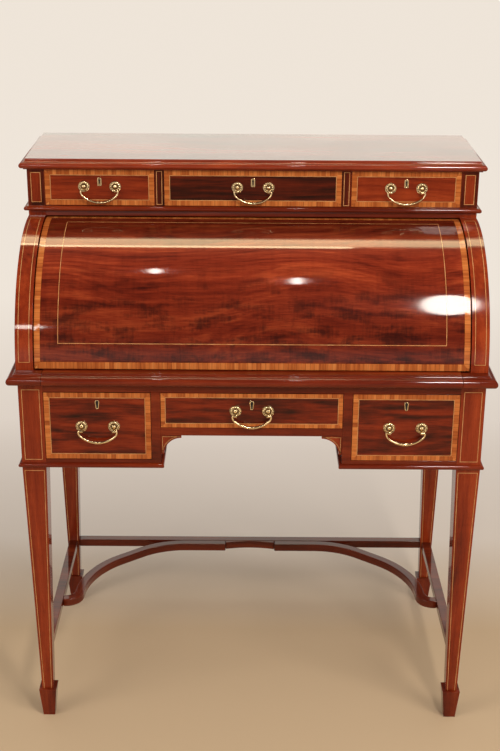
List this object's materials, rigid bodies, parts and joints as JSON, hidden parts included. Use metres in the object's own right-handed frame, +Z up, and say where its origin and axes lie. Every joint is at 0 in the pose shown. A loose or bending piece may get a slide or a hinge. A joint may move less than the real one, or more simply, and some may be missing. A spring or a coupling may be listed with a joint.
{
  "type": "cylinder desk",
  "caption": "Writing desk with a curved fall that rolls back as its leather-lined slide is drawn out, banded drawers above and below, tapered legs and a bowed stretcher.",
  "frame": {"origin": "on the floor under the middle of the table", "axes": "+Z up, -Y towards the sitter, +X to the sitter's right as seen from the front"},
  "size_m": [0.93, 0.54, 1.134],
  "materials": {
    "mahogany": "French polished",
    "lining": "plain planed",
    "brass": "polished and lacquered",
    "iron": "blackened",
    "leather": "waxed, gilt line"
  },
  "bodies": {
    "root": {"astragal_moulding": "mahogany", "bow_stretcher": "mahogany", "case_back": "lining", "case_side_left": "mahogany", "case_side_right": "mahogany", "dust_boards": "lining", "frieze_back": "lining", "frieze_mouldings": "mahogany", "frieze_sides": "mahogany", "front_rails": "mahogany", "kneehole_brackets": "mahogany", "kneehole_partitions": "lining", "leg_back_left": "mahogany", "leg_back_right": "mahogany", "leg_front_left": "mahogany", "leg_front_right": "mahogany", "pigeonhole_fitment": "mahogany", "pivot_bushes": "brass", "spade_feet": "mahogany", "straight_stretchers": "mahogany", "table_surround": "mahogany", "top_board": "mahogany", "upper_dividers": "mahogany", "upper_floor": "mahogany"},
    "slide": {"slide_board": "mahogany", "slide_front": "mahogany", "slide_leather": "leather", "slide_yokes": "iron"},
    "fall": {"cylinder_fall": "mahogany", "quadrant_arms": "iron", "quadrant_screws": "iron"},
    "lower_left_drawer": {"lower_left_drawer_box": "lining", "lower_left_drawer_front": "mahogany", "lower_left_drawer_hardware": "brass"},
    "lower_left_bail": {"lower_left_drawer_bail": "brass"},
    "lower_middle_drawer": {"lower_middle_drawer_box": "lining", "lower_middle_drawer_front": "mahogany", "lower_middle_drawer_hardware": "brass"},
    "lower_middle_bail": {"lower_middle_drawer_bail": "brass"},
    "lower_right_drawer": {"lower_right_drawer_box": "lining", "lower_right_drawer_front": "mahogany", "lower_right_drawer_hardware": "brass"},
    "lower_right_bail": {"lower_right_drawer_bail": "brass"},
    "upper_left_drawer": {"upper_left_drawer_box": "lining", "upper_left_drawer_front": "mahogany", "upper_left_drawer_hardware": "brass"},
    "upper_left_bail": {"upper_left_drawer_bail": "brass"},
    "upper_middle_drawer": {"upper_middle_drawer_box": "lining", "upper_middle_drawer_front": "mahogany", "upper_middle_drawer_hardware": "brass"},
    "upper_middle_bail": {"upper_middle_drawer_bail": "brass"},
    "upper_right_drawer": {"upper_right_drawer_box": "lining", "upper_right_drawer_front": "mahogany", "upper_right_drawer_hardware": "brass"},
    "upper_right_bail": {"upper_right_drawer_bail": "brass"},
    "small_left_drawer": {"small_drawer_left": "mahogany", "small_knob_left": "brass"},
    "small_right_drawer": {"small_drawer_right": "mahogany", "small_knob_right": "brass"}
  },
  "joints": [
    {"name": "slide_pull", "type": "slide", "parent": "root", "child": "slide", "axis": [0, -1, 0], "range_m": [0, 0.188]},
    {"name": "fall_turn", "type": "hinge", "parent": "root", "child": "fall", "pos_m": [0, 0.008, 0.77], "axis": [-1, 0, 0], "range_deg": [0, 76]},
    {"name": "lower_left_drawer_pull", "type": "slide", "parent": "root", "child": "lower_left_drawer", "axis": [0, -1, 0], "range_m": [0, 0.3]},
    {"name": "lower_middle_drawer_pull", "type": "slide", "parent": "root", "child": "lower_middle_drawer", "axis": [0, -1, 0], "range_m": [0, 0.3]},
    {"name": "lower_right_drawer_pull", "type": "slide", "parent": "root", "child": "lower_right_drawer", "axis": [0, -1, 0], "range_m": [0, 0.3]},
    {"name": "upper_left_drawer_pull", "type": "slide", "parent": "root", "child": "upper_left_drawer", "axis": [0, -1, 0], "range_m": [0, 0.16]},
    {"name": "upper_middle_drawer_pull", "type": "slide", "parent": "root", "child": "upper_middle_drawer", "axis": [0, -1, 0], "range_m": [0, 0.16]},
    {"name": "upper_right_drawer_pull", "type": "slide", "parent": "root", "child": "upper_right_drawer", "axis": [0, -1, 0], "range_m": [0, 0.16]},
    {"name": "lower_left_bail_swing", "type": "hinge", "parent": "lower_left_drawer", "child": "lower_left_bail", "pos_m": [-0.296, -0.26, 0.6625], "axis": [-1, 0, 0], "range_deg": [0, 90]},
    {"name": "lower_middle_bail_swing", "type": "hinge", "parent": "lower_middle_drawer", "child": "lower_middle_bail", "pos_m": [0, -0.26, 0.696], "axis": [-1, 0, 0], "range_deg": [0, 90]},
    {"name": "lower_right_bail_swing", "type": "hinge", "parent": "lower_right_drawer", "child": "lower_right_bail", "pos_m": [0.296, -0.26, 0.6625], "axis": [-1, 0, 0], "range_deg": [0, 90]},
    {"name": "upper_left_bail_swing", "type": "hinge", "parent": "upper_left_drawer", "child": "upper_left_bail", "pos_m": [-0.306, -0.001, 1.071], "axis": [-1, 0, 0], "range_deg": [0, 90]},
    {"name": "upper_middle_bail_swing", "type": "hinge", "parent": "upper_middle_drawer", "child": "upper_middle_bail", "pos_m": [0, -0.001, 1.071], "axis": [-1, 0, 0], "range_deg": [0, 90]},
    {"name": "upper_right_bail_swing", "type": "hinge", "parent": "upper_right_drawer", "child": "upper_right_bail", "pos_m": [0.306, -0.001, 1.071], "axis": [-1, 0, 0], "range_deg": [0, 90]},
    {"name": "small_left_drawer_pull", "type": "slide", "parent": "root", "child": "small_left_drawer", "axis": [0, -1, 0], "range_m": [0, 0.1]},
    {"name": "small_right_drawer_pull", "type": "slide", "parent": "root", "child": "small_right_drawer", "axis": [0, -1, 0], "range_m": [0, 0.1]}
  ],
  "couplings": [
    {"joint": "fall_turn", "follows": "slide_pull", "rad_per_m": 7.0555}
  ]
}
